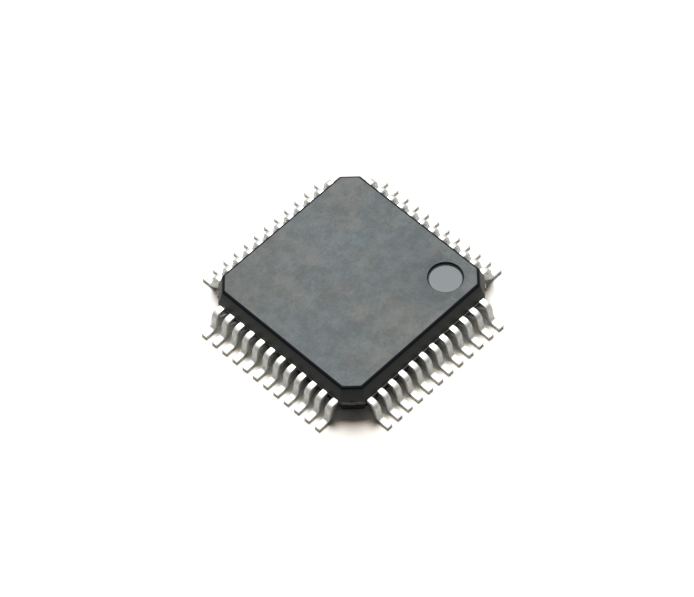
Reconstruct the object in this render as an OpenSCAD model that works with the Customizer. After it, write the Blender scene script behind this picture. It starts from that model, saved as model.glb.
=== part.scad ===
// Low-profile quad flat package: 48 gull-wing leads at 0.5 mm pitch around a
// 7.1 mm square moulded body, with the leadframe, die and bond wires inside it.
// The origin lies on the seating plane under the middle of the body, +Z up.
// Lead 1 is at the +Y end of the -X side, beside the index dimple, and the
// numbers run anticlockwise seen from above.

/* [Body] */
// Thickness of the moulded body
body_thickness = 1.38; // [1.3:0.01:1.6]
// From the seating plane up to the underside of the body
standoff = 0.09; // [0.05:0.01:0.15]
// From the centre of the last lead of a row to the side of the body
body_margin = 0.8; // [0.7:0.05:1.0]
// Length cut off each side at a corner, along the parting band
corner_cut = 0.6; // [0.4:0.05:0.7]
// Lean of the side walls away from the parting band
wall_draft = 17; // [5:1:20]
// Height and width of the break along the top and bottom edges
edge_break = 0.12; // [0.03:0.01:0.15]

/* [Index dimple] */
// Diameter of the dimple at the top face
dimple_d = 1.25; // [0.8:0.05:1.4]
// Depth of the dimple
dimple_depth = 0.12; // [0.05:0.01:0.2]
// Lean of the dimple's wall
dimple_draft = 25; // [5:1:40]
// From the two nearest sides of the body to the dimple's centre
dimple_inset = 1.25; // [1.1:0.05:1.5]

/* [Leads] */
// Distance between the centres of neighbouring leads
lead_pitch = 0.5; // [0.45:0.01:0.65]
// Width of a lead outside the body
lead_width = 0.24; // [0.17:0.01:0.27]
// Thickness of the leadframe strip
lead_thickness = 0.14; // [0.09:0.01:0.2]
// How far the toes reach out from the side of the body
lead_reach = 0.95; // [0.9:0.05:1.2]
// From the toe back to where the leg's centre line comes down
foot_length = 0.5; // [0.4:0.05:0.6]
// Lean of the legs from upright
leg_lean = 10; // [0:1:15]
// Inside radius of the two bends of a lead
bend_radius = 0.15; // [0.08:0.01:0.2]

/* [Lead fingers] */
// Straight run of a lead just inside the body
finger_straight = 0.25; // [0.15:0.05:0.35]
// Width of a finger at its tip
finger_width = 0.15; // [0.1:0.01:0.18]
// From the edge of the die pad out to the finger tips
finger_gap = 0.3; // [0.2:0.05:0.5]
// Clearance between the last finger of a row and the tie bar
tie_clearance = 0.12; // [0.1:0.01:0.2]

/* [Die pad] */
// Border of the die pad around the die
pad_border = 0.5; // [0.3:0.05:0.6]
// How far the die pad lies below the leads
pad_downset = 0.2; // [0.15:0.01:0.25]
// Width of the tie bars that run to the four corners
tie_bar_width = 0.2; // [0.15:0.01:0.25]
// Flat run of a tie bar between the die pad and its bend
tie_bar_flat = 0.15; // [0.1:0.01:0.25]
// How far the cut end of a tie bar stands out of the body
tie_bar_stub = 0.03; // [0:0.01:0.05]

/* [Die] */
// Side of the silicon die
die_size = 2.6; // [2:0.1:3]
// Thickness of the silicon die
die_thickness = 0.28; // [0.2:0.01:0.35]
// Thickness of the adhesive under the die
attach_thickness = 0.03; // [0.02:0.005:0.05]
// Fillet of adhesive squeezed out around the die
attach_fillet = 0.08; // [0.02:0.01:0.15]

/* [Bond wires] */
// Diameter of a bond wire
wire_d = 0.03; // [0.02:0.001:0.04]
// Diameter of the ball that starts a wire on the die
ball_d = 0.075; // [0.06:0.001:0.09]
// Height of that ball
ball_height = 0.02; // [0.015:0.001:0.03]
// Height of the wire loop above the die
loop_height = 0.15; // [0.12:0.01:0.2]
// Bend radius at the top of a loop
loop_radius = 0.06; // [0.05:0.005:0.08]
// From the edge of the die in to the row of balls
ball_inset = 0.1; // [0.08:0.01:0.2]
// From the last ball of a row to the row of the next side
ball_corner = 0.2; // [0.15:0.01:0.3]
// From the finger tip out to the end of the wire
stitch_inset = 0.12; // [0.1:0.01:0.2]

/* [Hidden] */
$fn = 48;
leads_per_side = 12;
lead_count = 4 * leads_per_side;
SIDE_NAMES = ["west", "south", "east", "north"];

// Rows are counted in pitches from the middle of a side
row_half = (leads_per_side - 1) / 2;
body_half = row_half * lead_pitch + body_margin;
corner_half = (2 * body_half - corner_cut) / sqrt(2);
toe_r = body_half + lead_reach;

// Levels, from the seating plane up
top_z = standoff + body_thickness;
lead_mid_z = standoff + body_thickness / 2;
lead_low_z = lead_mid_z - lead_thickness / 2;
lead_top_z = lead_mid_z + lead_thickness / 2;
pad_low_z = lead_low_z - pad_downset;
pad_top_z = pad_low_z + lead_thickness;
die_low_z = pad_top_z + attach_thickness;
die_top_z = die_low_z + die_thickness;

// Leadframe plan
pad_half = die_size / 2 + pad_border;
tip_r = pad_half + finger_gap;
fan_r = body_half - finger_straight;
tip_row_half = tip_r - sqrt(2) * (tie_bar_width / 2 + tie_clearance + finger_width / 2);
tip_pitch = tip_row_half / row_half;

// Bond wire plan
ball_r = die_size / 2 - ball_inset;
ball_pitch = (ball_r - ball_corner) / row_half;

// Gull wing: its centre line turns at the knee and again at the heel
bend_mid = bend_radius + lead_thickness / 2;
bend_tangent = bend_mid * tan(45 - leg_lean / 2);
heel_r = toe_r - foot_length;
knee_r = heel_r - lead_low_z * tan(leg_lean);
arc_steps = 8;

eps = 0.01;

function lead_name(n) = str("lead_", n < 10 ? "0" : "", n);
function side_of(n) = floor((n - 1) / leads_per_side);
function place_of(n) = (n - 1) % leads_per_side - row_half;

// Turns what is drawn along +X to the side that holds lead n
module on_side(n) {
    rotate(180 + 90 * side_of(n)) children();
}

// Half outline of the body, as [inset from the parting band, height]
function wall_line() = let (
    lean = tan(wall_draft),
    low_inset = (lead_low_z - standoff - edge_break) * lean,
    top_inset = (top_z - lead_top_z - edge_break) * lean
) [
    [low_inset + edge_break, standoff],
    [low_inset, standoff + edge_break],
    [0, lead_low_z],
    [0, lead_top_z],
    [top_inset, top_z - edge_break],
    [top_inset + edge_break, top_z]
];

// Block between two opposite walls that stand `reach` from the middle
module wall_block(reach) {
    line = wall_line();
    last = len(line) - 1;
    right = [for (p = line) [reach - p.x, p.y]];
    left = [for (i = [last : -1 : 0]) [line[i].x - reach, line[i].y]];
    rotate([90, 0, 0])
        linear_extrude(4 * body_half, center = true)
            polygon(concat(right, left));
}

module body_block() {
    intersection() {
        wall_block(body_half);
        rotate(90) wall_block(body_half);
        rotate(45) wall_block(corner_half);
        rotate(135) wall_block(corner_half);
    }
}

module index_dimple() {
    place = body_half - dimple_inset;
    lean = tan(dimple_draft);
    floor_d = dimple_d - 2 * dimple_depth * lean;
    translate([-place, place, top_z - dimple_depth])
        cylinder(d1 = floor_d, d2 = dimple_d + 2 * eps * lean, h = dimple_depth + eps);
}

// The moulding is cast around everything inside it. What rests on another
// piece is cut out `eps` deeper, into that piece, so no skin is left between.
module molded_body() {
    color([0.3, 0.32, 0.32]) difference() {
        body_block();
        index_dimple();
        leadframe_pad();
        adhesive(eps);
        silicon(eps);
        for (n = [1 : lead_count]) {
            stamped_lead(n);
            bond_wire(n, eps);
        }
    }
}

// Points along an arc, ends included
function arc(centre, radius, from, to) = [
    for (i = [0 : arc_steps])
        let (turn = from + (to - from) * i / arc_steps)
            centre + radius * [cos(turn), sin(turn)]
];

// Side view of a lead from where its finger starts to fan, out along the
// shoulder, over the knee, down the leg and round the heel to the toe
module wing_side() {
    knee = [knee_r - bend_tangent, lead_mid_z - bend_mid];
    heel = [heel_r + bend_tangent, lead_thickness / 2 + bend_mid];
    outside = bend_radius + lead_thickness;
    polygon(concat(
        [[fan_r, lead_top_z]],
        arc(knee, outside, 90, leg_lean),
        arc(heel, bend_radius, 180 + leg_lean, 270),
        [[toe_r, lead_thickness], [toe_r, 0]],
        arc(heel, outside, 270, 180 + leg_lean),
        arc(knee, bend_radius, leg_lean, 90),
        [[fan_r, lead_low_z]]
    ));
}

// Flat finger inside the body, fanning in to its tip, with a straight root
// that lies within the shoulder
module finger(n) {
    root = place_of(n) * lead_pitch;
    tip = place_of(n) * tip_pitch;
    translate([0, 0, lead_low_z]) linear_extrude(lead_thickness) polygon([
        [tip_r, tip - finger_width / 2],
        [fan_r, root - lead_width / 2],
        [fan_r + finger_straight, root - lead_width / 2],
        [fan_r + finger_straight, root + lead_width / 2],
        [fan_r, root + lead_width / 2],
        [tip_r, tip + finger_width / 2]
    ]);
}

module gull_wing(n) {
    translate([0, place_of(n) * lead_pitch, 0])
        rotate([90, 0, 0]) linear_extrude(lead_width, center = true) wing_side();
}

module stamped_lead(n) {
    on_side(n) union() {
        finger(n);
        gull_wing(n);
    }
}

module lead(n) {
    color([0.82, 0.83, 0.84]) stamped_lead(n);
}

// Side view of a tie bar along the diagonal: flat at the die pad, up
// through its bend, and flat again to its cut end at the corner
module tie_bar() {
    inner = pad_half * sqrt(2);
    bend = inner + tie_bar_flat;
    outer = corner_half + tie_bar_stub;
    rotate([90, 0, 0]) linear_extrude(tie_bar_width, center = true) polygon([
        [inner - tie_bar_width, pad_low_z],
        [bend, pad_low_z],
        [bend + pad_downset, lead_low_z],
        [outer, lead_low_z],
        [outer, lead_top_z],
        [bend + pad_downset, lead_top_z],
        [bend, pad_top_z],
        [inner - tie_bar_width, pad_top_z]
    ]);
}

module leadframe_pad() {
    translate([-pad_half, -pad_half, pad_low_z])
        cube([2 * pad_half, 2 * pad_half, lead_thickness]);
    for (turn = [45 : 90 : 315]) rotate(turn) tie_bar();
}

module die_pad() {
    color([0.78, 0.5, 0.32]) union() leadframe_pad();
}

module adhesive(sink = 0) {
    side = die_size + 2 * attach_fillet;
    translate([-side / 2, -side / 2, pad_top_z - sink])
        cube([side, side, attach_thickness + sink]);
}

module die_attach() {
    color([0.66, 0.66, 0.64]) adhesive();
}

module silicon(sink = 0) {
    translate([-die_size / 2, -die_size / 2, die_low_z - sink])
        cube([die_size, die_size, die_thickness + sink]);
}

module die() {
    color([0.27, 0.3, 0.36]) silicon();
}

// One bond wire: ball and upright neck on the die, a bend over the top of
// the loop, and a straight run down to the top of its finger
module bond_wire(n, sink = 0) {
    place = place_of(n);
    start = [ball_r, place * ball_pitch];
    fan_slope = place * (lead_pitch - tip_pitch) / (fan_r - tip_r);
    end = [tip_r + stitch_inset, place * tip_pitch + stitch_inset * fan_slope];
    drop = die_top_z - lead_top_z;
    neck = loop_height - loop_radius - wire_d / 2;
    reach = norm(end - start) - loop_radius;
    fall = neck + drop;
    far = norm([reach, fall]);
    turn = round(10 * (180 + atan2(fall, reach) - acos(loop_radius / far))) / 10;
    run = sqrt(far * far - loop_radius * loop_radius);
    spare = 3 * wire_d;
    on_side(n)
        translate([start.x, start.y, die_top_z])
            rotate(atan2(end.y - start.y, end.x - start.x)) difference() {
                union() {
                    translate([0, 0, -sink]) cylinder(d = ball_d, h = ball_height + sink);
                    cylinder(d = wire_d, h = neck);
                    translate([loop_radius, 0, neck]) rotate([-90, 0, 0]) rotate(180) {
                        rotate_extrude(angle = turn) translate([loop_radius, 0]) circle(d = wire_d);
                        rotate(turn) translate([loop_radius, 0, 0])
                            rotate([-90, 0, 0]) cylinder(d = wire_d, h = run + spare);
                    }
                }
                translate([0, -ball_d, -drop - sink - spare])
                    cube([2 * (reach + loop_radius), 2 * ball_d, spare]);
            }
}

module bond_wires(side) {
    first = side * leads_per_side;
    color([0.9, 0.72, 0.32])
        for (n = [first + 1 : first + leads_per_side]) bond_wire(n);
}

molded_body();
die_pad();
die_attach();
die();
for (side = [0 : 3])
    bond_wires(side);
for (n = [1 : lead_count])
    lead(n);
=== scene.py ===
# %% [markdown]
# # A quad flat pack chip
#
# The chip is a square black moulding, 7.1 mm on a side, with twelve tinned leads
# on each of its four sides. Its exact solids come ready made, as a fixed frame:
# they give the sizes. These lessons add what the solids lack, which is soft
# edges, flash, scuffs, and finishes that react to light as the real ones do.

# %% Load the frame
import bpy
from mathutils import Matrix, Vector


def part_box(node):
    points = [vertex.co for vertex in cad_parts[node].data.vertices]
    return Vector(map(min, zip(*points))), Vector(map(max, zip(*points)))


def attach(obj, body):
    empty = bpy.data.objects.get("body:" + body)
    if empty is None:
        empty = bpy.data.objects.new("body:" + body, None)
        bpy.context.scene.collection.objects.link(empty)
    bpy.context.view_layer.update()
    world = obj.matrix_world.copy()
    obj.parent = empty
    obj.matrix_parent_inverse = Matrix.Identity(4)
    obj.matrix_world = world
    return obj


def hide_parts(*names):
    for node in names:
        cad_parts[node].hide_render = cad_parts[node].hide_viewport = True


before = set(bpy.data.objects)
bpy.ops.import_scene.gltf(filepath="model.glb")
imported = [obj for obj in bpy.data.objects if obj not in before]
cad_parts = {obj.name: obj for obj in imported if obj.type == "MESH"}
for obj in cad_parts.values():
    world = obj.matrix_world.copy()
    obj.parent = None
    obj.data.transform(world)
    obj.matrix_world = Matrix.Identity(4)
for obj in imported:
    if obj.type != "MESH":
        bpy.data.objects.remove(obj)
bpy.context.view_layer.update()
print("solids in the frame:", len(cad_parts))

# %% [markdown]
# ## Working in millimetres
#
# Blender's unit is the metre, and many of its tools join points that are closer
# than a tenth of a millimetre. On a lead that is 0.24 mm wide that would do
# harm. So each piece is modelled a thousand times too large, with one unit for
# a millimetre, and is shrunk to metres when it is finished.

# %% Sizes that the pieces share
from math import cos, pi, radians, sin, tan

import bmesh
import bpy
from mathutils import Matrix, Vector

MM = 0.001
SIDES = ("west", "south", "east", "north")
LEADS_PER_SIDE = 12


def box_mm(node):
    """Lowest and highest corner of a solid, in millimetres."""
    low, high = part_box(node)
    return low / MM, high / MM


body_low, body_high = box_mm("molded_body")
BODY_HALF = body_high.x
BODY_TOP = body_high.z
BODY_BOTTOM = body_low.z
PITCH = 0.5
ROW_HALF = (LEADS_PER_SIDE - 1) / 2
print(f"moulding: {2 * BODY_HALF:.2f} mm square,",
      f"{BODY_TOP - BODY_BOTTOM:.2f} mm thick")

# Lead 7 is on the -X side: its box gives the toes' reach and the shoulders' height
lead_low, lead_high = box_mm("lead_07")
TOE = -lead_low.x
STRIP = 0.14
STRIP_TOP = lead_high.z
STRIP_BOTTOM = STRIP_TOP - STRIP
LEAD_WIDTH = 0.24
print(f"leads: toes {TOE:.2f} mm from the middle, shoulders at {STRIP_TOP:.2f} mm")

# %% [markdown]
# ## Helpers for edit mode
#
# An operator acts on whatever is selected. So a piece is opened with nothing
# selected, and then the wanted faces, edges or points are picked by a test on
# their place or direction, as one would click them by hand.

# %% Open, pick, close
def start_edit(piece):
    bpy.ops.object.select_all(action="DESELECT")
    piece.select_set(True)
    bpy.context.view_layer.objects.active = piece
    bpy.ops.object.mode_set(mode="EDIT")
    bpy.ops.mesh.select_all(action="DESELECT")


def pick(kind, test):
    """Selects the VERT, EDGE or FACE elements that pass the test, and counts them."""
    bpy.ops.mesh.select_all(action="DESELECT")
    bpy.ops.mesh.select_mode(type=kind)
    mesh = bmesh.from_edit_mesh(bpy.context.edit_object.data)
    parts = {"VERT": mesh.verts, "EDGE": mesh.edges, "FACE": mesh.faces}[kind]
    picked = 0
    for part in parts:
        if test(part):
            part.select_set(True)
            picked += 1
    bmesh.update_edit_mesh(bpy.context.edit_object.data)
    return picked


def middle(edge):
    return (edge.verts[0].co + edge.verts[1].co) / 2


def rise(edge):
    """Difference in height between the two ends of an edge."""
    return abs(edge.verts[0].co.z - edge.verts[1].co.z)


def finish_edit():
    bpy.ops.object.mode_set(mode="OBJECT")
    return bpy.context.view_layer.objects.active


# %% Add, apply, shrink
def add_block(name, low, high):
    """A box between two corners, named and ready for edit mode."""
    low, high = Vector(low), Vector(high)
    bpy.ops.object.select_all(action="DESELECT")
    bpy.ops.mesh.primitive_cube_add(size=1, location=(low + high) / 2,
                                    scale=high - low)
    piece = bpy.context.object
    piece.name = piece.data.name = name
    bpy.ops.object.transform_apply(location=True, rotation=True, scale=True)
    return piece


def apply_modifier(piece, kind, **settings):
    bpy.ops.object.select_all(action="DESELECT")
    piece.select_set(True)
    bpy.context.view_layer.objects.active = piece
    modifier = piece.modifiers.new(kind.title(), kind)
    for key, value in settings.items():
        setattr(modifier, key, value)
    bpy.ops.object.modifier_apply(modifier=modifier.name)


def to_metres(piece, smooth_degrees=40):
    """Shrinks a finished piece to metres and shades it smooth below an angle."""
    piece.data.transform(Matrix.Scale(MM, 4))
    bpy.ops.object.select_all(action="DESELECT")
    piece.select_set(True)
    bpy.context.view_layer.objects.active = piece
    bpy.ops.object.shade_smooth_by_angle(angle=radians(smooth_degrees))
    print(f"{piece.name}: {len(piece.data.polygons)} faces")
    return piece


def paint(mesh, material):
    mesh.materials.clear()
    mesh.materials.append(material)


def copy_to_side(template, name, side, move):
    """A copy with its own mesh. move shifts each point, then the copy turns to its side."""
    mesh = template.data.copy()
    for vertex in mesh.vertices:
        move(vertex.co)
    mesh.transform(Matrix.Rotation(radians(180 + 90 * side), 4, "Z"))
    piece = bpy.data.objects.new(name, mesh)
    bpy.context.scene.collection.objects.link(piece)
    return piece


# %% [markdown]
# ## Camera
#
# A long lens looks down at about 56 degrees onto the corner between leads 36 and
# 37, with the dimple to the right. It is so far away that opposite sides of the
# body stay almost parallel.

# %% Camera
def sky_direction(azimuth, elevation):
    """Unit vector to a point in the sky. Azimuth 0 is the -Y side, 90 the +X side."""
    a, e = radians(azimuth), radians(elevation)
    return Vector((sin(a) * cos(e), -cos(a) * cos(e), sin(e)))


CAMERA_AZIMUTH = 137.86
CAMERA_ELEVATION = 55.82
CAMERA_ROLL = radians(-3.96)
CAMERA_DISTANCE = 132 * MM
FRAME_WIDTH = 23.94 * MM
SENSOR = 36.0
AIM_HEIGHT = 0.68 * MM
AIM_LEFT = 0.159 * MM
AIM_DOWN = 0.203 * MM

back = sky_direction(CAMERA_AZIMUTH, CAMERA_ELEVATION)
level_right = (-back).cross(Vector((0, 0, 1))).normalized()
level_up = back.cross(level_right)
right = level_right * cos(CAMERA_ROLL) + level_up * sin(CAMERA_ROLL)
up = level_up * cos(CAMERA_ROLL) - level_right * sin(CAMERA_ROLL)
aim = Vector((0, 0, AIM_HEIGHT)) - right * AIM_LEFT - up * AIM_DOWN

camera_data = bpy.data.cameras.new("camera")
camera = bpy.data.objects.new("camera", camera_data)
bpy.context.scene.collection.objects.link(camera)
camera_data.sensor_width = SENSOR
camera_data.lens = SENSOR * CAMERA_DISTANCE / FRAME_WIDTH
camera_data.clip_start = 0.01
camera_data.clip_end = 20
turned = Matrix((right, up, back)).transposed().to_4x4()
camera.matrix_world = Matrix.Translation(aim + back * CAMERA_DISTANCE) @ turned
bpy.context.scene.camera = camera
bpy.context.scene.view_settings.view_transform = "Standard"
print(f"lens {camera_data.lens:.0f} mm")

# %% [markdown]
# ## Node helpers
#
# A material is a graph of nodes. Two small functions keep the recipes short:
# one adds a node and fills its sockets, the other blends two colours by a mask.

# %% Node helpers
def put(tree, kind, values=None, **settings):
    """Adds a node. values maps socket names or numbers to constants or outputs."""
    node = tree.nodes.new(kind)
    for key, value in settings.items():
        setattr(node, key, value)
    for key, value in (values or {}).items():
        if isinstance(value, bpy.types.NodeSocket):
            tree.links.new(value, node.inputs[key])
        else:
            node.inputs[key].default_value = value
    return node


def maths(tree, operation, first, second=0.0):
    node = put(tree, "ShaderNodeMath", {0: first, 1: second}, operation=operation)
    return node.outputs[0]


def ramp(tree, value, low, high, to_low=0.0, to_high=1.0):
    """Maps a value smoothly from one range to another, and holds it at the ends."""
    values = {"Value": value, "From Min": low, "From Max": high,
              "To Min": to_low, "To Max": to_high}
    node = put(tree, "ShaderNodeMapRange", values, interpolation_type="SMOOTHSTEP")
    return node.outputs["Result"]


def blend_colours(tree, mask, first, second):
    """Goes from the first colour to the second as the mask goes from 0 to 1."""
    values = {0: mask, 6: first, 7: second}
    return put(tree, "ShaderNodeMix", values, data_type="RGBA").outputs[2]


def grey(level):
    return (level, level, level, 1.0)


def tone(red, green, blue):
    """A colour given as the 0 to 255 values that a screen shows."""
    levels = [c / 255 for c in (red, green, blue)]
    linear = [c / 12.92 if c <= 0.04045 else ((c + 0.055) / 1.055) ** 2.4
              for c in levels]
    return (*linear, 1.0)


def object_place(tree):
    """The point on the piece that a material reads, in metres."""
    return put(tree, "ShaderNodeTexCoord").outputs["Object"]


def split(tree, vector):
    """The X, Y and Z of a vector."""
    return put(tree, "ShaderNodeSeparateXYZ", {0: vector}).outputs


def new_material(name):
    """An empty node material with its shader, and the coordinates that it reads."""
    material = bpy.data.materials.new(name)
    material.use_nodes = True
    tree = material.node_tree
    tree.nodes.clear()
    shader = put(tree, "ShaderNodeBsdfPrincipled")
    put(tree, "ShaderNodeOutputMaterial", {"Surface": shader.outputs[0]})
    return material, tree, shader, object_place(tree)


# %% [markdown]
# ## Shared effect: grain
#
# A mould is eroded by sparks, plated tin grows in crystals, and a die is ground.
# All of them leave a fine grain, so it is one node group with a size, a number
# of octaves and the gain from each octave to the next finer one. It gives back
# a value from 0 to 1 for colours, and a height for bumps.

# %% Grain group
def new_group(name, inputs, outputs):
    group = bpy.data.node_groups.new(name, "ShaderNodeTree")
    for label, kind, value in inputs:
        socket = group.interface.new_socket(label, in_out="INPUT", socket_type=kind)
        if value is not None:
            socket.default_value = value
    for label, kind in outputs:
        group.interface.new_socket(label, in_out="OUTPUT", socket_type=kind)
    return group, group.nodes.new("NodeGroupInput"), group.nodes.new("NodeGroupOutput")


grain_group, g_in, g_out = new_group(
    "grain",
    [("Place", "NodeSocketVector", None), ("Size mm", "NodeSocketFloat", 0.05),
     ("Detail", "NodeSocketFloat", 2.0), ("Gain", "NodeSocketFloat", 0.6)],
    [("Value", "NodeSocketFloat"), ("Height", "NodeSocketFloat")])
g_scale = maths(grain_group, "DIVIDE", 1 / MM, g_in.outputs["Size mm"])
g_noise = put(grain_group, "ShaderNodeTexNoise",
              {"Vector": g_in.outputs["Place"], "Scale": g_scale,
               "Detail": g_in.outputs["Detail"], "Roughness": g_in.outputs["Gain"]})
g_value = ramp(grain_group, g_noise.outputs["Fac"], 0.3, 0.7)
grain_group.links.new(g_value, g_out.inputs["Value"])
grain_group.links.new(g_noise.outputs["Fac"], g_out.inputs["Height"])


def grain(tree, place, size_mm, detail=2.0, gain=0.6):
    node = put(tree, "ShaderNodeGroup", node_tree=grain_group)
    tree.links.new(place, node.inputs["Place"])
    node.inputs["Size mm"].default_value = size_mm
    node.inputs["Detail"].default_value = detail
    node.inputs["Gain"].default_value = gain
    return node.outputs["Value"], node.outputs["Height"]


print("groups:", [g.name for g in bpy.data.node_groups])

# %% [markdown]
# ## Moulding compound
#
# Black epoxy is filled with ground glass. The mould's top and bottom plates are
# spark-eroded, so those faces come out matt and look grey; the drafted walls
# slide out of the tool and stay smoother and darker. On top of that, the plates
# are painted lighter, as painted light from above, and the walls much darker, as
# painted shade; the rounded rim along the top is painted near-black blue, a
# painted shade. The dimple is left by a polished pin. A mask from the face's
# direction tells plates from walls, and the distance from the pin's axis finds
# the dimple.

# %% Moulding material
DIMPLE_PLACE = (-2.3, 2.3)
DIMPLE_D = 1.25
DIMPLE_DEPTH = 0.12
CORNER_CUT = 0.6
FADE = 0.04


def corner_mask(tree, spot, start, end):
    """Goes from 0 to 1 between two depths inside the corner cuts."""
    reach = maths(tree, "ADD", maths(tree, "ABSOLUTE", spot["X"]),
                  maths(tree, "ABSOLUTE", spot["Y"]))
    cut = 2 * BODY_HALF - CORNER_CUT
    return ramp(tree, reach, (cut - start) * MM, (cut - end) * MM)


moulding_look, tree, shader, place = new_material("moulding_compound")
facing = split(tree, put(tree, "ShaderNodeNewGeometry").outputs["Normal"])
tilt = maths(tree, "ABSOLUTE", facing["Z"])
# The plate mask picks the faces that are painted lighter, as painted light from above
plate = ramp(tree, tilt, 0.97, 0.998)
# The rim mask picks the rounded band along the top's edge, which gets painted shade
rim = ramp(tree, tilt, 0.3, 0.6)

# %% Pin mark
spot = split(tree, place)
off_x = maths(tree, "SUBTRACT", spot["X"], DIMPLE_PLACE[0] * MM)
off_y = maths(tree, "SUBTRACT", spot["Y"], DIMPLE_PLACE[1] * MM)
squares = maths(tree, "ADD", maths(tree, "MULTIPLY", off_x, off_x),
                maths(tree, "MULTIPLY", off_y, off_y))
off_axis = maths(tree, "SQRT", squares)
near_pin = ramp(tree, off_axis, 0.60 * MM, 0.62 * MM, 1.0, 0.0)
below_top = ramp(tree, spot["Z"], (BODY_TOP - 2 * FADE) * MM, (BODY_TOP - FADE) * MM,
                 1.0, 0.0)
above_middle = ramp(tree, spot["Z"], 1.2 * MM, 1.3 * MM)
pin_mark = maths(tree, "MULTIPLY", maths(tree, "MULTIPLY", near_pin, below_top),
                 above_middle)

# %% Mottled plates
mottle, _ = grain(tree, place, 0.9, 5.0, 0.95)
drift, _ = grain(tree, place, 2.2, 4.0, 0.7)
fine, fine_height = grain(tree, place, 0.05, 2.0)
# The plates' grey is partly the matt finish and partly painted light, as if lit from above
cool = blend_colours(tree, mottle, tone(78, 89, 92), tone(101, 110, 113))
warm = blend_colours(tree, mottle, tone(83, 86, 84), tone(107, 108, 104))
matt = blend_colours(tree, drift, cool, warm)
# The plates turn a little darker and cooler towards +X
plate_darker_towards_plus_x = ramp(tree, spot["X"], 1.2 * MM, 3.4 * MM, 0.0, 0.16)
matt = blend_colours(tree, plate_darker_towards_plus_x, matt, tone(70, 76, 80))

# %% Smooth walls with painted shade, scuffed corners
# The walls' near-black is partly the resin's own colour and partly painted shade, as they
# face away from the light above
wall = blend_colours(tree, fine, tone(18, 23, 21), tone(25, 29, 27))
# Painted shade: the rounded rim of the top turns near-black blue
wall = blend_colours(tree, rim, wall, tone(10, 15, 22))
at_corner = corner_mask(tree, spot, 0.02, 0.005)
above_band = ramp(tree, spot["Z"], STRIP_TOP * MM, (STRIP_TOP + 0.02) * MM, 1.0, 0.0)
below_band = ramp(tree, spot["Z"], (STRIP_BOTTOM - 0.03) * MM, STRIP_BOTTOM * MM)
in_band = maths(tree, "MULTIPLY", below_band, above_band)
chips, _ = grain(tree, place, 0.12, 3.0, 0.8)
scuff = maths(tree, "MULTIPLY", maths(tree, "MULTIPLY", at_corner, in_band),
              ramp(tree, chips, 0.2, 0.8, 0.15, 1.0))
wall = blend_colours(tree, scuff, wall, tone(112, 110, 112))

# %% Moulding shader
PLATE_ROUGHNESS = (0.66, 0.6)
WALL_ROUGHNESS = 0.4
PIN_ROUGHNESS = 0.5
PLATE_SHINE = 0.42
WALL_SHINE = 0.36
RIM_SHINE = 0.12

skin = blend_colours(tree, plate, wall, matt)
skin = blend_colours(tree, pin_mark, skin, tone(108, 114, 117))
tree.links.new(skin, shader.inputs["Base Color"])
rough = ramp(tree, mottle, 0.0, 1.0, *PLATE_ROUGHNESS)
rough = blend_colours(tree, plate, grey(WALL_ROUGHNESS), rough)
rough = blend_colours(tree, pin_mark, rough, grey(PIN_ROUGHNESS))
tree.links.new(rough, shader.inputs["Roughness"])
wall_shine = ramp(tree, tilt, 0.25, 0.6, WALL_SHINE, RIM_SHINE)
shine = blend_colours(tree, plate, wall_shine, grey(PLATE_SHINE))
tree.links.new(shine, shader.inputs["Specular IOR Level"])
relief = put(tree, "ShaderNodeBump", {"Height": fine_height, "Distance": 0.005 * MM})
relief.inputs["Strength"].default_value = 0.6
tree.links.new(relief.outputs[0], shader.inputs["Normal"])

# %% [markdown]
# ## Moulded body
#
# The two halves of a mould meet at the lead strip. From that parting band both
# walls lean in, so that the body drops out of the tool. One inset with a depth
# makes such a drafted wall in a single step: it moves the rim in by the draft
# and up by the height of the wall. More insets, each one flatter than the last,
# then roll the rim over into the plate.

# %% Body block
LEAN = radians(17)
RIM_RADIUS = 0.14
RIM_STEPS = 6
CORNER_RADIUS = 0.035

moulding = add_block("moulding", (-BODY_HALF, -BODY_HALF, STRIP_BOTTOM),
                     (BODY_HALF, BODY_HALF, STRIP_TOP))
start_edit(moulding)
pick("EDGE", lambda e: rise(e) > 0.1)
bpy.ops.mesh.bevel(offset=CORNER_CUT, segments=1)
rim_turns = [LEAN + (pi / 2 - LEAN) * step / RIM_STEPS
             for step in range(RIM_STEPS + 1)]
for direction, height in ((1, BODY_TOP - STRIP_TOP), (-1, STRIP_BOTTOM - BODY_BOTTOM)):
    pick("FACE", lambda f: f.normal.z * direction > 0.9)
    wall_height = height - RIM_RADIUS * (1 - sin(LEAN))
    bpy.ops.mesh.inset(thickness=wall_height * tan(LEAN), depth=wall_height)
    for start, end in zip(rim_turns, rim_turns[1:]):
        bpy.ops.mesh.inset(thickness=RIM_RADIUS * (cos(start) - cos(end)),
                           depth=RIM_RADIUS * (sin(end) - sin(start)))
print("faces of the block:", len(bmesh.from_edit_mesh(moulding.data).faces))

# %% [markdown]
# Moulded edges are never sharp. The upright corners get a small radius from the
# bottom plate to the top plate.

# %% Rounded corners
pick("EDGE", lambda e: rise(e) > 0.001)
bpy.ops.mesh.bevel(offset=CORNER_RADIUS, segments=3)
moulding = finish_edit()

# %% [markdown]
# ## Index dimple
#
# A pin in the mould leaves the round dimple beside lead 1. A cone with the
# pin's draft is cut out, and the rim is then rounded a little.

# %% Index dimple
PIN_DRAFT = tan(radians(25))
ABOVE = 0.05
DIMPLE_RIM = 0.012

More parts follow.
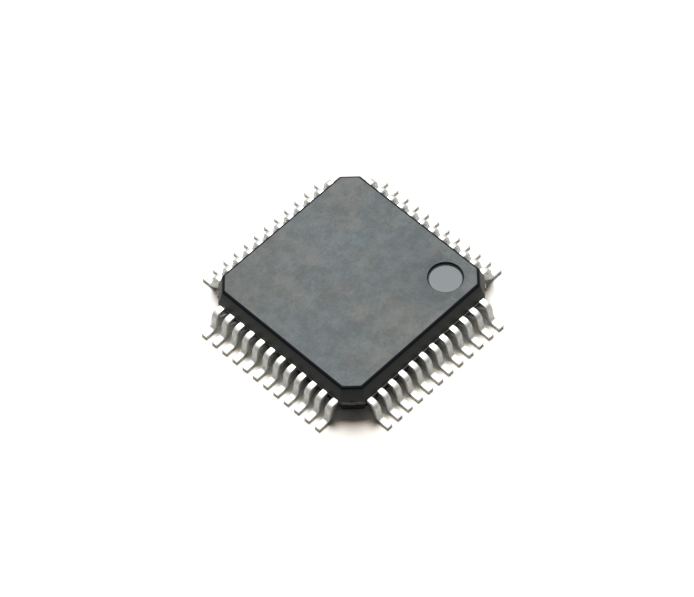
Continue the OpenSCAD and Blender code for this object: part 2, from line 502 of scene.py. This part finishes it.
bpy.ops.object.select_all(action="DESELECT")
bpy.ops.mesh.primitive_cone_add(
    vertices=64, depth=DIMPLE_DEPTH + ABOVE,
    radius1=DIMPLE_D / 2 - DIMPLE_DEPTH * PIN_DRAFT,
    radius2=DIMPLE_D / 2 + ABOVE * PIN_DRAFT,
    location=(*DIMPLE_PLACE, BODY_TOP + (ABOVE - DIMPLE_DEPTH) / 2))
pin = bpy.context.object
bpy.ops.object.transform_apply(location=True)
apply_modifier(moulding, "BOOLEAN", operation="DIFFERENCE", object=pin, solver="EXACT")
bpy.data.objects.remove(pin)


def at_top(point):
    return abs(point.z - BODY_TOP) < 0.001


def on_dimple_rim(edge):
    away = (middle(edge).xy - Vector(DIMPLE_PLACE)).length
    return abs(away - DIMPLE_D / 2) < 0.01 and at_top(middle(edge))


start_edit(moulding)
print("rim edges:", pick("EDGE", on_dimple_rim))
bpy.ops.mesh.bevel(offset=DIMPLE_RIM, segments=2)

# The cut leaves the top plate as one awkward face, so it is filled anew
pick("FACE", lambda f: f.normal.z > 0.999 and at_top(f.calc_center_median()))
bpy.ops.mesh.delete(type="FACE")
print("edges round the opening:", pick("EDGE", lambda e: e.is_boundary))
bpy.ops.mesh.fill(use_beauty=True)
moulding = finish_edit()
apply_modifier(moulding, "WEIGHTED_NORMAL", keep_sharp=True)
to_metres(moulding, 30)
paint(moulding.data, moulding_look)
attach(moulding, "root")
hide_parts("molded_body")

# %% [markdown]
# ## Parting flash
#
# Between two leads the mould closes on the strip's edge, and a little resin
# creeps out there. It stays as a thin ledge, level with the top of the strip.
# One ledge is made as a block, its outer edge cut into short pieces, and copied into every
# gap.

# %% Parting flash
FLASH_OUT = {"west": 0.015, "south": 0.015, "east": 0.012, "north": 0.04}
GAP_HALF = (PITCH - LEAD_WIDTH) / 2
LEDGE_ROOT = 0.02
LEDGE_BOTTOM = STRIP_TOP - 0.05
LEDGE_TOP = STRIP_TOP - 0.002

ledge = add_block("ledge", (BODY_HALF - LEDGE_ROOT, -GAP_HALF, LEDGE_BOTTOM),
                  (BODY_HALF + 1, GAP_HALF, LEDGE_TOP))
start_edit(ledge)
pick("EDGE", lambda e: all(v.co.x > BODY_HALF for v in e.verts) and
     abs(e.verts[0].co.y - e.verts[1].co.y) > 0.1)
bpy.ops.mesh.subdivide(number_cuts=5)
ledge = finish_edit()



def place_ledge(side, gap):
    """Draws the ledge out to an edge that wanders a little, and moves it to its gap."""
    def move(point):
        if point.x > BODY_HALF:
            wave = sin(31 * point.y + 5 * gap + side) + sin(67 * point.y + 3 * gap)
            point.x = BODY_HALF + FLASH_OUT[SIDES[side]] * (1 + 0.15 * wave)
        point.y += (gap + 1 - LEADS_PER_SIDE / 2) * PITCH
    return copy_to_side(ledge, "ledge_copy", side, move)


ledges = [place_ledge(side, gap) for side in range(len(SIDES))
          for gap in range(LEADS_PER_SIDE - 1)]
bpy.data.objects.remove(ledge)

# %% One piece of flash
bpy.ops.object.select_all(action="DESELECT")
for piece in ledges:
    piece.select_set(True)
bpy.context.view_layer.objects.active = ledges[0]
bpy.ops.object.join()
flash = bpy.context.object
flash.name = flash.data.name = "parting_flash"
to_metres(flash, 30)
paint(flash.data, moulding_look)
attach(flash, "root")
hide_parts("molded_body")

# %% [markdown]
# ## Matt tin
#
# The leads are plated with matt tin before they are bent: a bright, slightly
# warm white metal whose crystals blur what it mirrors.

# %% Tin material
tin_look, tree, shader, place = new_material("matt_tin")
crystal, crystal_height = grain(tree, place, 0.02, 2.0)
patch, _ = grain(tree, place, 0.12, 3.0)
bright = blend_colours(tree, patch, tone(214, 214, 210), tone(232, 232, 229))
tree.links.new(bright, shader.inputs["Base Color"])
shader.inputs["Metallic"].default_value = 1.0
tree.links.new(ramp(tree, crystal, 0.0, 1.0, 0.42, 0.55), shader.inputs["Roughness"])
relief = put(tree, "ShaderNodeBump", {"Height": crystal_height, "Distance": 0.002 * MM})
relief.inputs["Strength"].default_value = 0.5
tree.links.new(relief.outputs[0], shader.inputs["Normal"])

# %% [markdown]
# ## One lead
#
# A lead is a strip that was stamped flat and then bent twice. It is made the
# same way: a short block for the shoulder, whose end face is spun round the
# knee, drawn down the leg, spun the other way round the heel and drawn out to
# the toe. The template lies on the +X side, in the middle of the row.

# %% Lead template
FINGER_STRAIGHT = 0.25
FAN_START = BODY_HALF - FINGER_STRAIGHT
FOOT = 0.5
BEND_RADIUS = 0.15
BEND_MIDDLE = BEND_RADIUS + STRIP / 2
BEND_STEPS = 8
LEG_LEAN = radians(10)
BEND_TURN = pi / 2 - LEG_LEAN
TANGENT = BEND_MIDDLE * tan(BEND_TURN / 2)
HEEL = TOE - FOOT
KNEE = HEEL - STRIP_BOTTOM * tan(LEG_LEAN)
knee_centre = Vector((KNEE - TANGENT, 0, (STRIP_TOP + STRIP_BOTTOM) / 2 - BEND_MIDDLE))
heel_centre = Vector((HEEL + TANGENT, 0, STRIP / 2 + BEND_MIDDLE))
leg_direction = Vector((sin(LEG_LEAN), 0, -cos(LEG_LEAN)))
to_strip = Vector((cos(LEG_LEAN), 0, sin(LEG_LEAN))) * BEND_MIDDLE
leg_length = ((heel_centre - to_strip) - (knee_centre + to_strip)).length

lead = add_block("lead", (FAN_START, -LEAD_WIDTH / 2, STRIP_BOTTOM),
                 (knee_centre.x, LEAD_WIDTH / 2, STRIP_TOP))
start_edit(lead)
pick("FACE", lambda f: f.normal.x > 0.9)
bpy.ops.mesh.spin(steps=BEND_STEPS, angle=-BEND_TURN, center=knee_centre,
                  axis=(0, 1, 0))
print(f"leg {leg_length:.2f} mm long between its bends")

# %% Leg, heel and foot
bpy.ops.mesh.extrude_region_move(
    TRANSFORM_OT_translate={"value": leg_direction * leg_length})
bpy.ops.mesh.spin(steps=BEND_STEPS, angle=BEND_TURN, center=heel_centre,
                  axis=(0, 1, 0))
bpy.ops.mesh.extrude_region_move(
    TRANSFORM_OT_translate={"value": (TOE - heel_centre.x, 0, 0)})
tips = [v.co for v in bmesh.from_edit_mesh(lead.data).verts if v.select]
print("toe face:", [tuple(round(c, 3) for c in tip) for tip in tips])

# %% [markdown]
# Inside the body the strip goes on as a finger. It is drawn in from the
# shoulder's root and narrows to its tip. The copies then swing that tip towards
# the die, each by its own amount.

# %% Finger
TIP = 2.1
TIP_WIDTH = 0.15
STAMPED_EDGE = 0.022

pick("FACE", lambda f: f.normal.x < -0.9)
bpy.ops.mesh.extrude_region_move(
    TRANSFORM_OT_translate={"value": (TIP - FAN_START, 0, 0)})
bpy.ops.transform.resize(value=(1, TIP_WIDTH / LEAD_WIDTH, 1))
bpy.ops.mesh.select_all(action="SELECT")
bpy.ops.mesh.normals_make_consistent(inside=False)
lead = finish_edit()
apply_modifier(lead, "BEVEL", width=STAMPED_EDGE, segments=2, limit_method="ANGLE",
               angle_limit=radians(50))
apply_modifier(lead, "WEIGHTED_NORMAL", keep_sharp=True)

# %% [markdown]
# ## Forty-eight leads
#
# The template is copied, each copy with a mesh of its own. Its finger tip is
# moved sideways for the fan, and the whole lead is turned to its side of the
# body and shrunk to metres.

# %% Copies
TIE_BAR = 0.2
TIE_CLEARANCE = 0.12
TIP_HALF = TIP - (TIE_BAR / 2 + TIE_CLEARANCE + TIP_WIDTH / 2) * 2 ** 0.5
TIP_PITCH = TIP_HALF / ROW_HALF


def place_lead(number):
    step = (number - 1) % LEADS_PER_SIDE - ROW_HALF
    side = (number - 1) // LEADS_PER_SIDE

    def move(point):
        inward = (FAN_START - point.x) / (FAN_START - TIP)
        fan = step * (TIP_PITCH - PITCH) * min(max(inward, 0), 1)
        point.y += step * PITCH + fan
    return to_metres(copy_to_side(lead, f"tinned_lead_{number:02d}", side, move))


for number in range(1, len(SIDES) * LEADS_PER_SIDE + 1):
    piece = place_lead(number)
    paint(piece.data, tin_look)
    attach(piece, "root")
    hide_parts(f"lead_{number:02d}")
bpy.data.objects.remove(lead)

# %% [markdown]
# ## What the body holds
#
# The pad, the adhesive, the die and its wires are sealed in. Their solids have
# the right shapes, so they stay, and get finishes of their own.

# %% Inner finishes
def inner_look(name, dark, light, size_mm, roughness, metallic=0.0):
    material, tree, shader, place = new_material(name)
    value, height = grain(tree, place, size_mm)
    tree.links.new(blend_colours(tree, value, dark, light), shader.inputs["Base Color"])
    tree.links.new(ramp(tree, value, 0, 1, roughness, roughness + 0.1),
                   shader.inputs["Roughness"])
    shader.inputs["Metallic"].default_value = metallic
    bump = put(tree, "ShaderNodeBump", {"Height": height, "Distance": 0.002 * MM})
    tree.links.new(bump.outputs[0], shader.inputs["Normal"])
    return material


copper_look = inner_look("copper_strip", tone(176, 104, 72), tone(206, 138, 100),
                         0.08, 0.35, 1.0)
epoxy_look = inner_look("silver_epoxy", tone(150, 150, 146), tone(190, 189, 184),
                        0.03, 0.6)
silicon_look = inner_look("silicon", tone(58, 64, 78), tone(84, 92, 110), 0.25, 0.25)
gold_look = inner_look("gold_wire", tone(214, 170, 84), tone(236, 196, 108),
                       0.02, 0.25, 1.0)
finishes = {"die_pad": copper_look, "die_attach": epoxy_look, "die": silicon_look}
finishes.update({f"bond_wires_{side}": gold_look for side in SIDES})
for node, look in finishes.items():
    paint(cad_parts[node].data, look)
print("inner solids with a finish:", ", ".join(finishes))

# %% [markdown]
# The tie bars of the pad are cut off at the corners of the body. Their cut ends
# are smeared and have gone dull, so outside the body the copper turns dark grey.

# %% Dull cut ends
tree = copper_look.node_tree
shader = next(node for node in tree.nodes if node.type == "BSDF_PRINCIPLED")
cut_end = corner_mask(tree, split(tree, object_place(tree)), 0.03, 0.01)
bare = shader.inputs["Base Color"].links[0].from_socket
dulled = blend_colours(tree, cut_end, bare, tone(74, 73, 76))
tree.links.new(dulled, shader.inputs["Base Color"])
tree.links.new(ramp(tree, cut_end, 0, 1, 1.0, 0.0), shader.inputs["Metallic"])

# %% [markdown]
# ## Floor
#
# The chip stands on a white sheet. Only what the camera sees of the sheet is
# lifted, so that it burns out to white around the chip and keeps the shadow.

# %% Floor
bpy.ops.object.select_all(action="DESELECT")
bpy.ops.mesh.primitive_plane_add(size=1.0, location=(0, 0, 0))
floor = bpy.context.object
floor.name = floor.data.name = "floor"
floor_look = bpy.data.materials.new("white_sheet")
floor_look.use_nodes = True
tree = floor_look.node_tree
tree.nodes.clear()
path = put(tree, "ShaderNodeLightPath")
sheet = blend_colours(tree, path.outputs["Is Camera Ray"], (0.7, 0.69, 0.66, 1),
                      (1.06, 1.04, 1.0, 1))
paper = put(tree, "ShaderNodeBsdfDiffuse", {"Color": sheet})
put(tree, "ShaderNodeOutputMaterial", {"Surface": paper.outputs[0]})
floor.data.materials.append(floor_look)

# %% [markdown]
# ## Light
#
# One softbox stands behind the chip and high above it, where the shoulders of
# the leads mirror it. It throws the short shadow in front of the body. A warm
# and a cool lamp share the work, the cool one a little lower, so the edge of the
# shadow turns warm as it does under a real softbox. The sky gives a little fill.
# What metal mirrors is bright overhead and behind, and dark in front and low.
# The camera sees plain white.

# %% Light
KEY_STRENGTH = 3.44
KEY_SPREAD = radians(28)


def add_softbox(name, elevation, colour):
    data = bpy.data.lights.new(name, "SUN")
    data.angle = KEY_SPREAD
    data.energy = KEY_STRENGTH
    data.color = colour
    lamp = bpy.data.objects.new(name, data)
    direction = sky_direction(CAMERA_AZIMUTH + 180, elevation)
    lamp.rotation_euler = direction.to_track_quat("Z", "Y").to_euler()
    bpy.context.scene.collection.objects.link(lamp)


add_softbox("softbox_warm", 64.5, (1.0, 0.8, 0.55))
add_softbox("softbox_cool", 61.5, (0.0, 0.2, 0.45))

# %% Sky
SKY_FILL = 0.03
FRONT_SINK = 0.45
DARKEST, BRIGHTEST = 0.12, 1.0

world = bpy.data.worlds.new("studio")
bpy.context.scene.world = world
world.use_nodes = True
tree = world.node_tree
tree.nodes.clear()
sky = split(tree, put(tree, "ShaderNodeTexCoord").outputs["Generated"])
front = sky_direction(CAMERA_AZIMUTH, 0)
frontness = maths(tree, "ADD", maths(tree, "MULTIPLY", sky["X"], front.x),
                  maths(tree, "MULTIPLY", sky["Y"], front.y))
height = maths(tree, "SUBTRACT", sky["Z"], maths(tree, "MULTIPLY", frontness, FRONT_SINK))
mirrored = ramp(tree, height, 0.15, 0.75, DARKEST, BRIGHTEST)
path = put(tree, "ShaderNodeLightPath").outputs
seen = maths(tree, "MAXIMUM", path["Is Glossy Ray"], path["Is Transmission Ray"])
level = put(tree, "ShaderNodeMix", {0: seen, 2: SKY_FILL, 3: mirrored}).outputs[0]
values = {0: path["Is Camera Ray"], 2: level, 3: 1.0}
level = put(tree, "ShaderNodeMix", values).outputs[0]
background = put(tree, "ShaderNodeBackground", {"Color": grey(1.0), "Strength": level})
put(tree, "ShaderNodeOutputWorld", {"Surface": background.outputs[0]})
world.cycles.sampling_method = "NONE"
